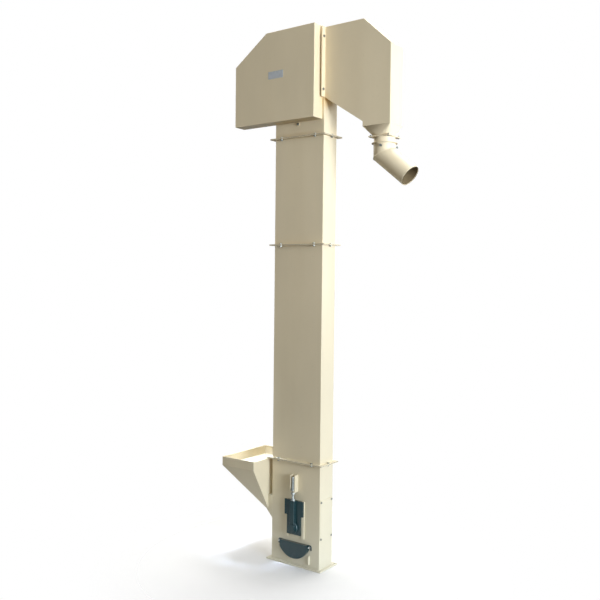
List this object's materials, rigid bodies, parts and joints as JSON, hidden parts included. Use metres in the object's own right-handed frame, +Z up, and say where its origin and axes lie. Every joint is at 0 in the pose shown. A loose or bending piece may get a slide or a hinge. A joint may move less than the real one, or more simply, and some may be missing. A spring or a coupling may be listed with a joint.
{
  "type": "bucket elevator",
  "caption": "Belt and bucket elevator for grain: boot with feed hopper, sectioned trunk, belt-driven head and a swivelling discharge spout.",
  "frame": {"origin": "middle of the trunk on the floor, at the centre of the four anchor holes", "axes": "+Z up along the trunk, +X towards the discharge spout, -Y towards the drive guard and the visible take-up"},
  "size_m": [1.5309, 0.536, 4.045],
  "materials": {
    "cream_paint": "satin",
    "zinc_plate": "satin",
    "teal_paint": "gloss",
    "machined_steel": "satin",
    "black_rubber": "matte",
    "motor_paint": "satin",
    "plain_label": "satin",
    "cast_iron": "matte",
    "pressed_steel": "satin",
    "fan_plastic": "matte"
  },
  "bodies": {
    "casing": {"base_frame": "cream_paint", "boot_casing": "cream_paint", "boot_floor": "cream_paint", "boot_side_panel": "cream_paint", "side_panel_bolts": "zinc_plate", "takeup_rails": "cream_paint", "takeup_brackets": "cream_paint", "takeup_nuts": "zinc_plate", "cleanout_studs": "zinc_plate", "cleanout_nuts": "zinc_plate", "feed_hopper": "cream_paint", "hopper_throat": "cream_paint", "trunk_lower": "cream_paint", "trunk_upper": "cream_paint", "flange_gaskets": "black_rubber", "flange_bolts": "zinc_plate", "head_casing": "cream_paint", "discharge_hood": "cream_paint", "spout_transition": "cream_paint", "outlet_flange": "cream_paint", "spout_stub": "cream_paint", "outlet_bolts": "zinc_plate", "guard_back_plate": "cream_paint", "drive_guard": "cream_paint", "guard_screws": "zinc_plate", "label_plate": "plain_label", "head_bearings": "teal_paint", "head_inserts": "machined_steel", "head_bearing_bolts": "zinc_plate", "elevator_belt": "black_rubber", "buckets": "pressed_steel", "bucket_bolts": "zinc_plate", "motor_bracket": "cream_paint", "motor_slide_base": "cream_paint", "motor_body": "motor_paint", "motor_stator": "machined_steel", "motor_end_covers": "motor_paint", "motor_fan_cowl": "motor_paint", "motor_terminal_box": "motor_paint", "motor_bolts": "zinc_plate", "drive_belts": "black_rubber"},
    "takeup": {"takeup_housings": "teal_paint", "takeup_inserts": "machined_steel", "takeup_rods": "zinc_plate", "takeup_lock_nuts": "zinc_plate"},
    "tail_rotor": {"tail_shaft": "machined_steel", "tail_pulley": "machined_steel"},
    "head_rotor": {"head_shaft": "machined_steel", "head_pulley": "machined_steel", "head_lagging": "black_rubber", "head_sheave": "cast_iron", "head_keys": "machined_steel"},
    "motor_rotor": {"motor_shaft": "machined_steel", "motor_core": "machined_steel", "motor_sheave": "cast_iron", "motor_fan": "fan_plastic"},
    "elbow": {"spout_collar": "cream_paint", "spout_pipe": "cream_paint", "elbow_screws": "zinc_plate"},
    "cleanout": {"cleanout_cover": "teal_paint"}
  },
  "joints": [
    {"name": "head_spin", "type": "hinge", "parent": "casing", "child": "head_rotor", "pos_m": [0, 0, 3.7], "axis": [0, 1, 0], "continuous": true},
    {"name": "motor_spin", "type": "hinge", "parent": "casing", "child": "motor_rotor", "pos_m": [-0.43, 0, 3.64], "axis": [0, 1, 0], "continuous": true},
    {"name": "takeup_slide", "type": "slide", "parent": "casing", "child": "takeup", "axis": [0, 0, 1], "range_m": [0, 0.03]},
    {"name": "tail_spin", "type": "hinge", "parent": "takeup", "child": "tail_rotor", "pos_m": [0, 0, 0.29], "axis": [0, 1, 0], "continuous": true},
    {"name": "spout_swivel", "type": "hinge", "parent": "casing", "child": "elbow", "pos_m": [0.69, 0, 3.1], "axis": [0, 0, 1], "range_deg": [-180, 180]},
    {"name": "cleanout_lift", "type": "slide", "parent": "casing", "child": "cleanout", "axis": [0, 0, 1], "range_m": [0, 0.028]}
  ],
  "couplings": [
    {"joint": "motor_spin", "follows": "head_spin", "ratio": 3.9444},
    {"joint": "tail_spin", "follows": "head_spin", "ratio": 1}
  ]
}
